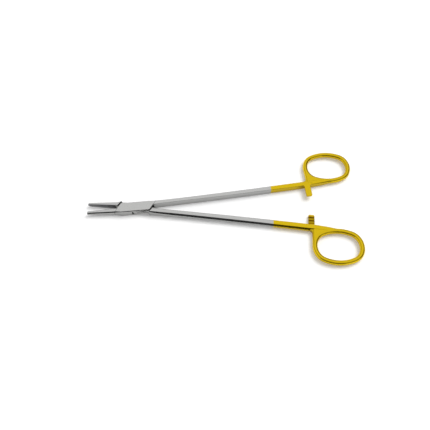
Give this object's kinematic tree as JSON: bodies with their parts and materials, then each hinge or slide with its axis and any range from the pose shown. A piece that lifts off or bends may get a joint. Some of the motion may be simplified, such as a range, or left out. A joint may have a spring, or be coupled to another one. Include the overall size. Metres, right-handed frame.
{
  "type": "surgical needle holder",
  "caption": "Ring-handled surgical needle holder with a box lock, serrated hard-metal jaw inserts, a ratchet and gold-plated handles.",
  "frame": {"origin": "on the pivot axis of the box lock, at the underside of the lock", "axes": "+X along the instrument from the pivot to the finger rings, halfway between the two arms; +Z out of its flat upper side, parallel to the pivot"},
  "size_m": [0.1802, 0.0886, 0.0053],
  "materials": {
    "satin_steel": "satin",
    "pin_steel": "satin, ground flush",
    "hard_metal": "ground, with a cross-cut grip"
  },
  "bodies": {
    "box_half": {"box_arm": "satin_steel", "pivot_pin": "pin_steel", "box_arm_insert": "hard_metal"},
    "tongue_half": {"tongue_arm": "satin_steel", "tongue_arm_insert": "hard_metal"}
  },
  "joints": [
    {"name": "box_lock", "type": "hinge", "parent": "box_half", "child": "tongue_half", "pos_m": [0, 0, 0], "axis": [0, 0, -1], "range_deg": [-9.6, 50.4]}
  ]
}
